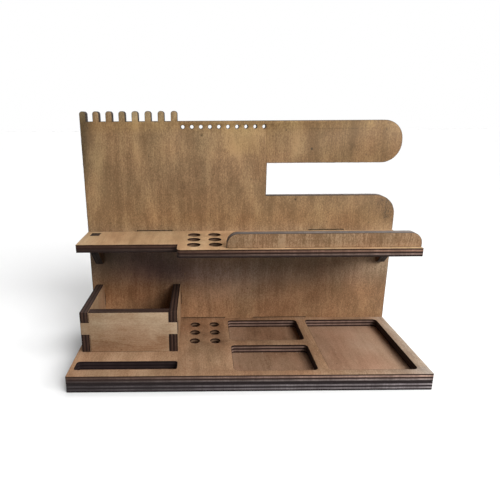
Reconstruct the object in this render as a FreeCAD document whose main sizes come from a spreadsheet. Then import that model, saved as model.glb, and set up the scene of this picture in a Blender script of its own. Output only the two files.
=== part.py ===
import FreeCAD, Part
import os
from enum import IntEnum
from types import SimpleNamespace

import Sketcher

# Driving dimensions in millimetres, and counts. Sideways places are measured from the left end of
# the stand, depths from the front face of the back panel and heights from the table.
SIZES = {
    # Sheet stock and fits
    "ply": 6.35,
    "slot_clearance": 0.2,
    "slot_headroom": 0.6,
    "finger_clearance": 0.1,
    "corner_land": 0.4,
    # Whole stand
    "width": 250.0,
    "base_depth": 85.0,
    "panel_height": 178.7,
    "shelf_height": 91.2,
    # Tabs that pass through the back panel
    "base_tab_width": 45.0,
    "base_tab_spread": 70.0,
    "shelf_tab_width": 28.0,
    "shelf_tab_spread": 141.0,
    # Comb along the panel's top edge
    "tooth_count": 8,
    "tooth_pitch": 10.0,
    "tooth_width": 5.0,
    "tooth_height": 7.5,
    "tooth_tip_radius": 2.2,
    # Row of small holes beside the comb
    "panel_hole_count": 10,
    "panel_hole_diameter": 2.8,
    "panel_hole_first": 79.0,
    "panel_hole_pitch": 7.0,
    "panel_hole_drop": 4.5,
    # Notch open to the right, between the panel's two arms
    "notch_left": 145.0,
    "notch_height": 26.0,
    "upper_arm_height": 32.5,
    "upper_arm_radius": 15.0,
    "lower_arm_radius": 16.0,
    # Open box on the base
    "box_inset": 3.5,
    "box_width": 71.5,
    "box_depth": 54.0,
    "box_height": 32.0,
    "box_top_finger": 8.0,
    "box_front_tab": 10.0,
    "box_panel_tab": 10.0,
    "box_panel_tab_drop": 8.0,
    # Slot along the front of the base
    "slot_depth": 10.0,
    "slot_front_margin": 7.7,
    "slot_corner_radius": 2.0,
    # Tool holes, in line through the shelf and the base
    "tool_column_count": 2,
    "tool_row_count": 3,
    "tool_column_first": 87.2,
    "tool_column_pitch": 16.0,
    "tool_row_first": 12.0,
    "tool_row_pitch": 13.5,
    "base_hole_diameter": 7.5,
    "shelf_hole_diameter": 9.5,
    # Trays sunk in the base
    "tray_left": 115.0,
    "small_tray_width": 58.0,
    "tray_divider": 8.0,
    "tray_right_margin": 8.0,
    "tray_back_margin": 5.0,
    "tray_front_margin": 5.5,
    "tray_corner_radius": 3.0,
    # Shelf and the lip that stands on it
    "shelf_depth": 51.0,
    "shelf_left_depth": 37.0,
    "shelf_jog": 75.2,
    "shelf_jog_radius": 3.0,
    "lip_length": 139.0,
    "lip_height": 10.5,
    "lip_setback": 3.0,
    "lip_corner_radius": 8.0,
    "lip_tab_width": 20.0,
    "lip_tab_inset": 22.0,
    # Brackets under the shelf
    "bracket_inset": 5.0,
    "bracket_reach": 20.0,
    "bracket_drop": 20.5,
    "bracket_toe": 3.0,
    "bracket_tenon": 7.5,
    "bracket_tenon_start": 5.0,
}

SHEET = "Sizes"
TOLERANCE = 1e-4

# The points of a sketched line or circle that a constraint can hold, numbered from one.
Point = IntEnum("Point", "START END CENTRE")

# How a board that is drawn flat stands in the stand: lying, facing the front, or edge on to it.
LYING = FreeCAD.Rotation()
FACING = FreeCAD.Rotation(FreeCAD.Vector(1, 0, 0), 90)
EDGE_ON = FreeCAD.Rotation(FreeCAD.Vector(1, 1, 1), 120)


class Dim:
    """A length that knows its number and the sheet formula that drives it."""

    def __init__(self, value, formula):
        self.value = float(value)
        self.formula = formula

    def __add__(self, other):
        other = as_dim(other)
        return Dim(self.value + other.value, f"({self.formula} + {other.formula})")

    def __sub__(self, other):
        other = as_dim(other)
        return Dim(self.value - other.value, f"({self.formula} - {other.formula})")

    def __mul__(self, factor):
        return Dim(self.value * factor, f"({self.formula} * {factor})")

    def __truediv__(self, divisor):
        return Dim(self.value / divisor, f"({self.formula} / {divisor})")

    def __neg__(self):
        return Dim(-self.value, f"(-1 * {self.formula})")


def as_dim(length):
    """Return a plain number as a Dim, and a Dim as it is."""
    if isinstance(length, Dim):
        return length
    return Dim(length, str(length))


def at_most(length, room):
    """Return the length, or the room for it where that is less."""
    return Dim(min(length.value, room.value), f"min({length.formula}; {room.formula})")


def make_sheet(doc):
    """Write the driving dimensions to a sheet and return them by name."""
    sheet = doc.addObject("Spreadsheet::Sheet", SHEET)
    for row, (name, number) in enumerate(SIZES.items(), start=1):
        sheet.set(f"A{row}", name)
        sheet.set(f"B{row}", str(number))
        sheet.setAlias(f"B{row}", name)
    doc.recompute()
    return SimpleNamespace(**{name: Dim(sheet.get(name), f"{SHEET}.{name}") for name in SIZES})


def count(dim):
    """Return a counted size as a whole number."""
    return int(round(dim.value))


def vector(point):
    """Return the drawing point as a vector."""
    across, along = point
    return FreeCAD.Vector(across.value, along.value, 0)


def tie_point(sketch, geometry, position, point):
    """Hold a point of the sketch at its distances from the drawing's origin."""
    for kind, length in zip(("DistanceX", "DistanceY"), point):
        constraint = Sketcher.Constraint(kind, geometry, int(position), length.value)
        index = sketch.addConstraint(constraint)
        sketch.setExpression(f"Constraints[{index}]", length.formula)


def draw_polygon(sketch, corners):
    """Draw a closed outline of straight edges through the corners."""
    points = [(as_dim(across), as_dim(along)) for across, along in corners]
    following = points[1:] + points[:1]
    edges = [
        sketch.addGeometry(Part.LineSegment(vector(here), vector(there)), False)
        for here, there in zip(points, following)
    ]
    end, start = int(Point.END), int(Point.START)
    for edge, before, point in zip(edges, edges[-1:] + edges[:-1], points):
        sketch.addConstraint(Sketcher.Constraint("Coincident", before, end, edge, start))
        tie_point(sketch, edge, Point.START, point)


def draw_circle(sketch, centre, diameter):
    """Draw a round hole about its centre."""
    point = (as_dim(centre[0]), as_dim(centre[1]))
    axis = FreeCAD.Vector(0, 0, 1)
    circle = sketch.addGeometry(Part.Circle(vector(point), axis, diameter.value / 2), False)
    tie_point(sketch, circle, Point.CENTRE, point)
    index = sketch.addConstraint(Sketcher.Constraint("Diameter", circle, diameter.value))
    sketch.setExpression(f"Constraints[{index}]", diameter.formula)


def rectangle(left, right, low, high):
    """Return the four corners of an upright rectangle."""
    return [(left, low), (right, low), (right, high), (left, high)]


def slot_for(left, right, low, high, clearance, headroom=None):
    """Return the corners of the slot that a tab of this section passes through.

    The headroom is the clearance over the tab, where it differs from the rest.
    """
    room = clearance if headroom is None else headroom
    return rectangle(left - clearance, right + clearance, low - clearance, high + room)


def new_sketch(body, name):
    """Add a sketch on the body's own ground plane."""
    plane = next(part for part in body.Origin.OriginFeatures if part.Role == "XY_Plane")
    sketch = body.newObject("Sketcher::SketchObject", name)
    sketch.AttachmentSupport = [(plane, "")]
    sketch.MapMode = "FlatFace"
    return sketch


class Board:
    """One flat board: an outline cut from the sheet, its cut-outs and its rounded corners."""

    def __init__(self, doc, size, label, outline):
        self.doc = doc
        self.size = size
        self.body = doc.addObject("PartDesign::Body", label)
        self.body.Label = label
        profile = new_sketch(self.body, f"{label}_outline")
        draw_polygon(profile, outline)
        self.tip = self.body.newObject("PartDesign::Pad", f"{label}_pad")
        self.tip.Profile = profile
        self.tip.setExpression("Length", size.ply.formula)
        doc.recompute()

    def cut(self, name, polygons=(), circles=()):
        """Cut openings right through the board.

        Each polygon is a list of corners. Each circle is a centre and a diameter.
        """
        label = self.body.Label
        profile = new_sketch(self.body, f"{label}_{name}")
        for corners in polygons:
            draw_polygon(profile, corners)
        for centre, diameter in circles:
            draw_circle(profile, centre, diameter)
        before = self.tip.Shape.Volume
        self.tip = self.body.newObject("PartDesign::Pocket", f"{label}_{name}_pocket")
        self.tip.Profile = profile
        self.tip.Reversed = True
        self.tip.setExpression("Length", self.size.ply.formula)
        self.doc.recompute()
        if self.tip.Shape.Volume >= before:
            raise RuntimeError(f"{label}: {name} removes nothing")

    def round_corners(self, name, corners, radius):
        """Round the board's upright edges at the given corners of its drawing."""
        edges = [self.edge_at(vector((as_dim(across), as_dim(along)))) for across, along in corners]
        base = self.tip
        self.tip = self.body.newObject("PartDesign::Fillet", f"{self.body.Label}_{name}")
        self.tip.Base = (base, edges)
        self.tip.setExpression("Radius", radius.formula)
        self.doc.recompute()

    def edge_at(self, corner):
        """Return the name of the upright edge over a corner of the drawing."""
        for number, edge in enumerate(self.tip.Shape.Edges, start=1):
            offsets = [vertex.Point - corner for vertex in edge.Vertexes]
            if all(FreeCAD.Vector(offset.x, offset.y, 0).Length < TOLERANCE for offset in offsets):
                return f"Edge{number}"
        raise RuntimeError(f"{self.body.Label}: no edge at {corner}")

    def place(self, rotation, across, depth, height):
        """Stand the board in the stand, tied to the sheet."""
        self.body.Tip = self.tip
        self.body.Placement = FreeCAD.Placement(FreeCAD.Vector(), rotation)
        for axis, length in zip("xyz", (across, depth, height)):
            self.body.setExpression(f"Placement.Base.{axis}", as_dim(length).formula)


class Frame:
    """Places that several boards share, worked out from the driving dimensions."""

    def __init__(self, size):
        footprint = size.base_depth + size.ply
        self.left = -size.width / 2
        self.panel_face = size.base_depth - footprint / 2
        self.base_top = size.ply * 2
        self.shelf_underside = size.shelf_height - size.ply
        self.base_tabs = mirrored_tabs(size.width, size.base_tab_spread, size.base_tab_width)
        self.shelf_tabs = mirrored_tabs(size.width, size.shelf_tab_spread, size.shelf_tab_width)
        self.notch_top = size.panel_height - size.upper_arm_height
        self.notch_bottom = self.notch_top - size.notch_height
        self.box_right = size.box_inset + size.box_width
        self.box_walls = (size.box_inset, self.box_right - size.ply)
        self.finger_high = size.box_height - size.box_top_finger
        self.finger_low = self.finger_high - size.box_front_tab
        self.box_tab_high = size.box_height - size.box_panel_tab_drop
        self.box_tab_low = self.box_tab_high - size.box_panel_tab
        self.bracket_lefts = (size.bracket_inset, size.width - size.bracket_inset - size.ply)
        self.bracket_tenon_end = size.bracket_tenon_start + size.bracket_tenon
        self.lip_left = size.width - size.lip_length
        self.lip_front = -size.shelf_depth + size.lip_setback
        self.lip_tabs = (
            (size.lip_tab_inset, size.lip_tab_inset + size.lip_tab_width),
            (
                size.lip_length - size.lip_tab_inset - size.lip_tab_width,
                size.lip_length - size.lip_tab_inset,
            ),
        )


def mirrored_tabs(width, spread, tab_width):
    """Return the two ends of each of a pair of tabs that lie evenly about the middle."""
    middles = (width / 2 - spread / 2, width / 2 + spread / 2)
    return [(middle - tab_width / 2, middle + tab_width / 2) for middle in middles]


def back_edge(tabs, length):
    """Return the corners of a back edge and its tabs, from the right end to the left."""
    corners = []
    for left, right in reversed(tabs):
        corners += [(right, 0), (right, length), (left, length), (left, 0)]
    return corners


def tool_holes(size, diameter):
    """Return the grid of round holes that the tools stand in."""
    return [
        (
            (
                size.tool_column_first + size.tool_column_pitch * column,
                -(size.tool_row_first + size.tool_row_pitch * row),
            ),
            diameter,
        )
        for column in range(count(size.tool_column_count))
        for row in range(count(size.tool_row_count))
    ]


def base_outline(size, frame):
    """Return the outline that both base boards share."""
    front = [(0, -size.base_depth), (size.width, -size.base_depth)]
    return front + [(size.width, 0)] + back_edge(frame.base_tabs, size.ply) + [(0, 0)]


def make_base_bottom(doc, size, frame):
    """Make the lower base board, which floors the trays."""
    board = Board(doc, size, "base_bottom_board", base_outline(size, frame))
    board.place(LYING, frame.left, frame.panel_face, 0)
    return board


def make_base_top(doc, size, frame):
    """Make the upper base board with its slot, tool holes and trays."""
    board = Board(doc, size, "base_top_board", base_outline(size, frame))
    slot_front = -size.base_depth + size.slot_front_margin
    slot = rectangle(size.box_inset, frame.box_right, slot_front, slot_front + size.slot_depth)
    tray_front = -size.base_depth + size.tray_front_margin
    tray_back = -size.tray_back_margin
    small_depth = (tray_back - tray_front - size.tray_divider) / 2
    small_right = size.tray_left + size.small_tray_width
    trays = [
        rectangle(size.tray_left, small_right, tray_back - small_depth, tray_back),
        rectangle(size.tray_left, small_right, tray_front, tray_front + small_depth),
        rectangle(
            small_right + size.tray_divider,
            size.width - size.tray_right_margin,
            tray_front,
            tray_back,
        ),
    ]
    holes = tool_holes(size, size.base_hole_diameter)
    board.cut("openings", [slot] + trays, holes)
    board.round_corners("slot_corners", slot, size.slot_corner_radius)
    tray_corners = [corner for tray in trays for corner in tray]
    board.round_corners("tray_corners", tray_corners, size.tray_corner_radius)
    board.place(LYING, frame.left, frame.panel_face, size.ply)
    return board


def panel_outline(size, frame):
    """Return the back panel's outline, anticlockwise from its lower left corner."""
    gap = size.slot_clearance
    tip = size.panel_height + size.tooth_height
    corners = [(0, 0)]
    for left, right in frame.base_tabs:
        top = frame.base_top + size.slot_headroom
        corners += [(left - gap, 0), (left - gap, top), (right + gap, top), (right + gap, 0)]
    corners += [
        (size.width, 0),
        (size.width, frame.notch_bottom),
        (size.notch_left, frame.notch_bottom),
        (size.notch_left, frame.notch_top),
        (size.width, frame.notch_top),
        (size.width, size.panel_height),
    ]
    for tooth in reversed(range(count(size.tooth_count))):
        left = size.tooth_pitch * tooth
        right = left + size.tooth_width
        corners += [(right, size.panel_height), (right, tip), (left, tip)]
        if tooth:
            corners.append((left, size.panel_height))
    return corners


def make_back_panel(doc, size, frame):
    """Make the back panel that every other board is slotted into."""
    board = Board(doc, size, "back_panel", panel_outline(size, frame))
    gap = size.slot_clearance
    slots = [
        slot_for(
            left, right, frame.shelf_underside, size.shelf_height, gap, size.slot_headroom
        )
        for left, right in frame.shelf_tabs
    ]
    low = frame.base_top + frame.box_tab_low
    high = frame.base_top + frame.box_tab_high
    slots += [slot_for(left, left + size.ply, low, high, gap) for left in frame.box_walls]
    low = frame.shelf_underside - frame.bracket_tenon_end
    high = frame.shelf_underside - size.bracket_tenon_start
    slots += [slot_for(left, left + size.ply, low, high, gap) for left in frame.bracket_lefts]
    hole_height = size.panel_height - size.panel_hole_drop
    holes = [
        (
            (size.panel_hole_first + size.panel_hole_pitch * hole, hole_height),
            size.panel_hole_diameter,
        )
        for hole in range(count(size.panel_hole_count))
    ]
    board.cut("openings", slots, holes)
    tip = size.panel_height + size.tooth_height
    tips = []
    for tooth in range(count(size.tooth_count)):
        left = size.tooth_pitch * tooth
        tips += [(left, tip), (left + size.tooth_width, tip)]
    tip_room = (size.tooth_width - size.corner_land) / 2
    board.round_corners("tooth_tips", tips, at_most(size.tooth_tip_radius, tip_room))
    arm_room = (size.upper_arm_height - size.corner_land) / 2
    arm_end = [(size.width, frame.notch_top), (size.width, size.panel_height)]
    board.round_corners("upper_arm_end", arm_end, at_most(size.upper_arm_radius, arm_room))
    board.round_corners("lower_arm_end", [(size.width, frame.notch_bottom)], size.lower_arm_radius)
    board.place(FACING, frame.left, frame.panel_face + size.ply, 0)
    return board


def make_shelf(doc, size, frame):
    """Make the shelf, deeper at the right, with slots for the lip and the brackets."""
    outline = [
        (0, -size.shelf_left_depth),
        (size.shelf_jog, -size.shelf_left_depth),
        (size.shelf_jog, -size.shelf_depth),
        (size.width, -size.shelf_depth),
        (size.width, 0),
    ]
    outline += back_edge(frame.shelf_tabs, size.ply) + [(0, 0)]
    board = Board(doc, size, "shelf_board", outline)
    gap = size.slot_clearance
    slots = [
        slot_for(left, left + size.ply, -frame.bracket_tenon_end, -size.bracket_tenon_start, gap)
        for left in frame.bracket_lefts
    ]
    lip_back = frame.lip_front + size.ply
    slots += [
        slot_for(frame.lip_left + left, frame.lip_left + right, frame.lip_front, lip_back, gap)
        for left, right in frame.lip_tabs
    ]
    board.cut("openings", slots, tool_holes(size, size.shelf_hole_diameter))
    jog_corner = [(size.shelf_jog, -size.shelf_depth)]
    board.round_corners("jog_corner", jog_corner, size.shelf_jog_radius)
    board.place(LYING, frame.left, frame.panel_face, frame.shelf_underside)
    return board


def make_shelf_lip(doc, size, frame):
    """Make the low strip that keeps things from rolling off the shelf."""
    outline = [(0, 0)]
    for left, right in frame.lip_tabs:
        outline += [(left, 0), (left, -size.ply), (right, -size.ply), (right, 0)]
    top_corners = [(size.lip_length, size.lip_height), (0, size.lip_height)]
    board = Board(doc, size, "shelf_lip", outline + [(size.lip_length, 0)] + top_corners)
    room = size.lip_height - size.corner_land
    board.round_corners("top_corners", top_corners, at_most(size.lip_corner_radius, room))
    back = frame.panel_face + frame.lip_front + size.ply
    board.place(FACING, frame.left + frame.lip_left, back, size.shelf_height)
    return board


def make_box_side(doc, size, frame, label, left):
    """Make one side wall of the box, with fingers in front and a tab behind."""
    front = -size.box_depth
    notch_back = front + size.ply + size.finger_clearance
    notch_high = frame.finger_high + size.finger_clearance
    notch_low = frame.finger_low - size.finger_clearance
    outline = [
        (front, 0),
        (0, 0),
        (0, frame.box_tab_low),
        (size.ply, frame.box_tab_low),
        (size.ply, frame.box_tab_high),
        (0, frame.box_tab_high),
        (0, size.box_height),
        (front, size.box_height),
        (front, notch_high),
        (notch_back, notch_high),
        (notch_back, notch_low),
        (front, notch_low),
    ]
    board = Board(doc, size, label, outline)
    board.place(EDGE_ON, frame.left + left, frame.panel_face, frame.base_top)
    return board


def make_box_front(doc, size, frame):
    """Make the front wall of the box, with one tab at each end."""
    inner_left = size.ply + size.finger_clearance
    inner_right = size.box_width - inner_left
    outline = [
        (inner_left, 0),
        (inner_right, 0),
        (inner_right, frame.finger_low),
        (size.box_width, frame.finger_low),
        (size.box_width, frame.finger_high),
        (inner_right, frame.finger_high),
        (inner_right, size.box_height),
        (inner_left, size.box_height),
        (inner_left, frame.finger_high),
        (0, frame.finger_high),
        (0, frame.finger_low),
        (inner_left, frame.finger_low),
    ]
    board = Board(doc, size, "box_front_wall", outline)
    back = frame.panel_face - size.box_depth + size.ply
    board.place(FACING, frame.left + size.box_inset, back, frame.base_top)
    return board


def make_bracket(doc, size, frame, label, left):
    """Make one gusset under the shelf, with a tenon up and a tab back."""
    near = size.bracket_tenon_start
    far = frame.bracket_tenon_end
    outline = [
        (0, 0),
        (-near, 0),
        (-near, size.ply),
        (-far, size.ply),
        (-far, 0),
        (-size.bracket_reach, 0),
        (-size.bracket_reach, -size.bracket_toe),
        (-size.bracket_toe, -size.bracket_drop),
        (0, -size.bracket_drop),
        (0, -far),
        (size.ply, -far),
        (size.ply, -near),
        (0, -near),
    ]
    board = Board(doc, size, label, outline)
    board.place(EDGE_ON, frame.left + left, frame.panel_face, frame.shelf_underside)
    return board


def check_document(doc, boards):
    """Stop if any object failed or any board isn't one valid solid."""
    failed = [item.Label for item in doc.Objects if {"Invalid", "Error"} & set(item.State)]
    if failed:
        raise RuntimeError(f"failed objects: {failed}")
    for board in boards:
        shape = board.body.Shape
        if shape.isNull() or not shape.isValid() or len(shape.Solids) != 1:
            raise RuntimeError(f"{board.body.Label}: no single valid solid")


def main():
    """Build every board, check them and write one file each."""
    doc = FreeCAD.newDocument("ToolCaddy")
    size = make_sheet(doc)
    frame = Frame(size)
    left_wall, right_wall = frame.box_walls
    left_gusset, right_gusset = frame.bracket_lefts
    boards = [
        make_base_bottom(doc, size, frame),
        make_base_top(doc, size, frame),
        make_back_panel(doc, size, frame),
        make_shelf(doc, size, frame),
        make_shelf_lip(doc, size, frame),
        make_box_side(doc, size, frame, "box_left_wall", left_wall),
        make_box_side(doc, size, frame, "box_right_wall", right_wall),
        make_box_front(doc, size, frame),
        make_bracket(doc, size, frame, "left_bracket", left_gusset),
        make_bracket(doc, size, frame, "right_bracket", right_gusset),
    ]
    doc.recompute()
    check_document(doc, boards)
    os.makedirs("parts", exist_ok=True)
    for board in boards:
        shape = board.body.Shape
        shape.exportStep(f"parts/{board.body.Label}.step")
        box = shape.BoundBox
        print(
            f"{board.body.Label}: volume {shape.Volume:.1f} mm3,",
            f"x {box.XMin:.2f} to {box.XMax:.2f},",
            f"y {box.YMin:.2f} to {box.YMax:.2f},",
            f"z {box.ZMin:.2f} to {box.ZMax:.2f}",
        )


main()
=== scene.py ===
"""Slotted plywood desk stand for hobby tools, stained brown, with laser-cut edges.

Lengths are in millimetres in the stand's own frame, +X to the right, +Y to the back and +Z up, until
a mesh, lamp or camera is made from them.
"""

import logging
import math
from abc import ABC, abstractmethod
from collections.abc import Iterable, Sequence
from dataclasses import astuple, dataclass, field
from enum import Enum
from functools import cache

import bmesh
import bpy
from mathutils import Matrix, Vector

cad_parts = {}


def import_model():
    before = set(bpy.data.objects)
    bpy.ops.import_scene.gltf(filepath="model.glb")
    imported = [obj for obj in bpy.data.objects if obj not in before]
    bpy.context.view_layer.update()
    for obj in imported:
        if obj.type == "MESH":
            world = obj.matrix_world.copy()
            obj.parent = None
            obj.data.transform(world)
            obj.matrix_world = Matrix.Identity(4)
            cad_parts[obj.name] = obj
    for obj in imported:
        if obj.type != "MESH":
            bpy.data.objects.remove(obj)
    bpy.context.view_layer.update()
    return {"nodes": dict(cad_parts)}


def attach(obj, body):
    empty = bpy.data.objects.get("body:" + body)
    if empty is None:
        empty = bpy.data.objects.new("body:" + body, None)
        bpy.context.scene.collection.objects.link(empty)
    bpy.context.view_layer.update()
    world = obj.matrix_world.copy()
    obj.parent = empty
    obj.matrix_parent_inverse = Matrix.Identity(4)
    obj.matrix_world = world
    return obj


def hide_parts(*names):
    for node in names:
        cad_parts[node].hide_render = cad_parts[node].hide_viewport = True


MM = 0.001
WELD = 2e-6
BODY = "root"
PLACE = "board_place"
PICTURE = 500.0
HALF_WIDTH = 125.0
BORE_CORNERS = 10
BORE_TOLERANCE = 0.1
SLOT_WIDTH = 12.0
SHARP_ANGLE = 40.0
MID_DEPTH = 0.5
PATTERN_PLANE = 0.37
SIDE_FALL = 2.0
END_FALL = 4.0
BUMP_STRENGTH = 0.6
HALF = 0.5
DIAGONAL = math.sqrt(HALF)
BLACK = (0.0, 0.0, 0.0)
WHITE = (1.0, 1.0, 1.0)

LOG = logging.getLogger("stand")

Colour = tuple[float, float, float]
Place = tuple[float, float, float]
Socket = bpy.types.NodeSocket
Feed = Socket | float
Paint = Socket | Colour
Feeds = dict[str, Feed | Sequence[float]]


class Axis(Enum):
    """An axis of the stand, by its place in a point."""

    ACROSS = 0
    DEPTH = 1
    UP = 2


class Skin(Enum):
    """The kinds of surface on a laser-cut board."""

    FACE = 0
    CUT = 1
    BORE = 2
    SLOT = 3
    RECESS = 4


class Side(Enum):
    """The faces of a board, by the test that a depth from 0 to 1 passes on that side."""

    UPPER = "LESS_THAN"
    LOWER = "GREATER_THAN"


class Blend(Enum):
    """The ways of mixing a second colour into a first one."""

    COVER = "MIX"
    TINT = "MULTIPLY"


class LampKind(Enum):
    """How far off a lamp is, by the kind of light that stands for it."""

    FAR = "SUN"
    NEAR = "AREA"


@dataclass(frozen=True)
class Level:
    """One ring of a board's cut edge.

    Args:
        depth: Distance below the board's upper face.
        inset: Distance that the ring lies inside the outline.
        skin: Surface from this ring down to the next one.
    """

    depth: float
    inset: float
    skin: Skin


@dataclass(frozen=True)
class CutProfile:
    """Section of a cut edge: softened arrises and a scorched groove along each glue line.

    Args:
        plies: Number of veneers in a board.
        arris: Radius of the softened arris.
        groove: Depth of the groove at a glue line.
        groove_half: Half of that groove's width.
    """

    plies: int = 5
    arris: float = 0.28
    groove: float = 0.09
    groove_half: float = 0.13

    def levels(self, thickness: float, covered: bool) -> list[Level]:
        """Return the rings of the edge from the upper face to the lower.

        Args:
            thickness: Thickness of the board.
            covered: Whether another board lies on the upper face.

        Returns:
            The rings in order of depth.
        """
        turn = self.arris * (1 - DIAGONAL)
        upper = Skin.CUT if covered else Skin.FACE
        arris = ((0, self.arris), (turn, turn), (self.arris, 0))
        groove = ((-self.groove_half, 0), (0, self.groove), (self.groove_half, 0))
        rings = [Level(depth, inset, upper if inset else Skin.CUT) for depth, inset in arris]
        for seam in range(1, self.plies):
            middle = thickness * seam / self.plies
            rings += [Level(middle + depth, inset, Skin.CUT) for depth, inset in groove]
        rings += [Level(thickness - depth, inset, Skin.CUT) for depth, inset in reversed(arris)]
        return rings


@dataclass(frozen=True)
class Band:
    """A range of values that is carried over to another range.

    Args:
        low: Start of the range.
        high: End of the range.
        start: Result at its start and below.
        end: Result at its end and above.
    """

    low: float
    high: float
    start: float = 0.0
    end: float = 1.0


class Graph:
    """A node tree, with short calls for the nodes that the finishes share."""

    def __init__(self, owner: bpy.types.Material | bpy.types.World) -> None:
        """Start with an empty tree.

        Args:
            owner: The material or world that the tree belongs to.
        """
        owner.use_nodes = True
        self.tree = owner.node_tree
        self.tree.nodes.clear()

    def node(self, kind: str, feeds: Feeds | None = None, **settings: object) -> bpy.types.Node:
        """Add a node.

        Args:
            kind: Node type without the ShaderNode prefix.
            feeds: Sockets or values for its inputs, by name.
            **settings: Properties of the node.

        Returns:
            The new node.
        """
        made = self.tree.nodes.new(f"ShaderNode{kind}")
        for name, value in settings.items():
            setattr(made, name, value)
        for name, source in (feeds or {}).items():
            self.feed(made.inputs[name], source)
        return made

    def feed(self, socket: Socket, source: Feed | Sequence[float]) -> None:
        """Link a socket to another one, or set its value.

        Args:
            socket: Socket to feed.
            source: The other socket, or the value.
        """
        if isinstance(source, bpy.types.NodeSocket):
            self.tree.links.new(source, socket)
        else:
            socket.default_value = source

    def math(self, operation: str, *sources: Feed, clamp: bool = False) -> Socket:
        """Return the result of a math node.

        Args:
            operation: Name of the operation.
            *sources: Its inputs in order.
            clamp: Whether the result is held from 0 to 1.

        Returns:
            The node's output.
        """
        made = self.node("Math", operation=operation, use_clamp=clamp)
        for socket, source in zip(made.inputs, sources):
            self.feed(socket, source)
        return made.outputs[0]

    def vector(self, x: Feed, y: Feed, z: Feed) -> Socket:
        """Return three numbers as one vector."""
        return self.node("CombineXYZ", {"X": x, "Y": y, "Z": z}).outputs["Vector"]

    def noise(self, vector: Socket, detail: float, roughness: float) -> Socket:
        """Return smooth noise, about 0.5 on average, at a vector in pattern units."""
        feeds = {"Vector": vector, "Scale": 1.0, "Detail": detail, "Roughness": roughness}
        return self.node("TexNoise", feeds).outputs["Fac"]

    def ramp(self, factor: Socket, stops: Iterable[tuple[float, Colour]]) -> Socket:
        """Return a colour ramp's colour.

        Args:
            factor: Place on the ramp.
            stops: Places and their colours, in order.

        Returns:
            The colour.
        """
        made = self.node("ValToRGB", {"Fac": factor})
        elements = made.color_ramp.elements
        elements.remove(elements[1])
        for index, (position, colour) in enumerate(stops):
            element = elements[0] if index == 0 else elements.new(position)
            element.position = position
            element.color = (*colour, 1.0)
        return made.outputs["Color"]

    def span(self, value: Socket, band: Band) -> Socket:
        """Return a value carried over from one range to another and held within it."""
        limits = dict(zip(("From Min", "From Max", "To Min", "To Max"), astuple(band)))
        return self.node("MapRange", {"Value": value, **limits}).outputs["Result"]

    def mix(self, factor: Socket, first: Paint, second: Paint, blend: Blend = Blend.COVER) -> Socket:
        """Return two colours mixed.

        Args:
            factor: Share of the second colour.
            first: The first colour.
            second: The second colour.
            blend: Way of mixing.

        Returns:
            The mixed colour.
        """
        made = self.node("Mix", data_type="RGBA", blend_type=blend.value)
        colours = [socket for socket in made.inputs if socket.type == "RGBA"]
        self.feed(made.inputs[0], factor)
        for socket, source in zip(colours, (first, second)):
            self.feed(socket, (*source, 1.0) if isinstance(source, tuple) else source)
        return next(socket for socket in made.outputs if socket.type == "RGBA")

    def split(self, vector: Socket) -> tuple[Socket, Socket, Socket]:
        """Return the three numbers of a vector."""
        return tuple(self.node("SeparateXYZ", {"Vector": vector}).outputs)

    def place(self) -> tuple[Socket, Socket, Socket]:
        """Return the places along a board's grain, across it and through the board."""
        read = self.node("Attribute", attribute_type="GEOMETRY", attribute_name=PLACE)
        return self.split(read.outputs["Vector"])

    def surface(
        self, colour: Socket, roughness: Socket, height: Socket, relief: float, shine: float
    ) -> None:
        """Close the material with a shader.

        Args:
            colour: Colour of the surface.
            roughness: Roughness of the surface.
            height: Height of its relief, from 0 to 1.
            relief: Depth of the relief.
            shine: Specular level.
        """
        bump = self.node("Bump", {"Strength": BUMP_STRENGTH, "Distance": relief * MM, "Height": height})
        feeds = {
            "Base Color": colour,
            "Roughness": roughness,
            "Specular IOR Level": shine,
            "Normal": bump.outputs["Normal"],
        }
        shader = self.node("BsdfPrincipled", feeds)
        self.node("OutputMaterial", {"Surface": shader.outputs["BSDF"]})


@dataclass(frozen=True)
class Streak:
    """A soft light or dark streak in the veneer.

    Args:
        across: Place of its middle across the grain.
        along: Place of its middle along the grain.
        half_width: Half of its width.
        half_length: Half of its length.
        tone: How much lighter it is, or darker below 0.
        lean: Sideways drift for each millimetre along the grain.
    """

    across: float
    along: float
    half_width: float
    half_length: float
    tone: float
    lean: float = 0.0

    def tone_at(self, graph: Graph, along: Socket, across: Socket) -> Socket:
        """Return the streak's tone at a place on the board.

        Args:
            graph: Tree to add the nodes to.
            along: Place along the grain.
            across: Place across the grain.

        Returns:
            The tone, which fades to 0 away from the streak.
        """
        rise = graph.math("SUBTRACT", along, self.along)
        drift = graph.math("MULTIPLY_ADD", rise, -self.lean, across)
        aside = graph.math("DIVIDE", graph.math("SUBTRACT", drift, self.across), self.half_width)
        reach = graph.math("DIVIDE", rise, self.half_length)
        fall = graph.math("POWER", aside, SIDE_FALL)
        fall = graph.math("ADD", fall, graph.math("POWER", reach, END_FALL))
        fade = graph.math("EXPONENT", graph.math("MULTIPLY", fall, -1.0))
        return graph.math("MULTIPLY", fade, self.tone)


@dataclass(frozen=True)
class Tinge:
    """A soft patch of another hue, which is the stain's own on some boards and painted shade, bounce
    light or sheen on others.

    Args:
        patch: Where the patch is, with its strength as the tone.
        hue: Factor on each channel of the colour in its middle.
    """

    patch: Streak
    hue: Colour


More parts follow.
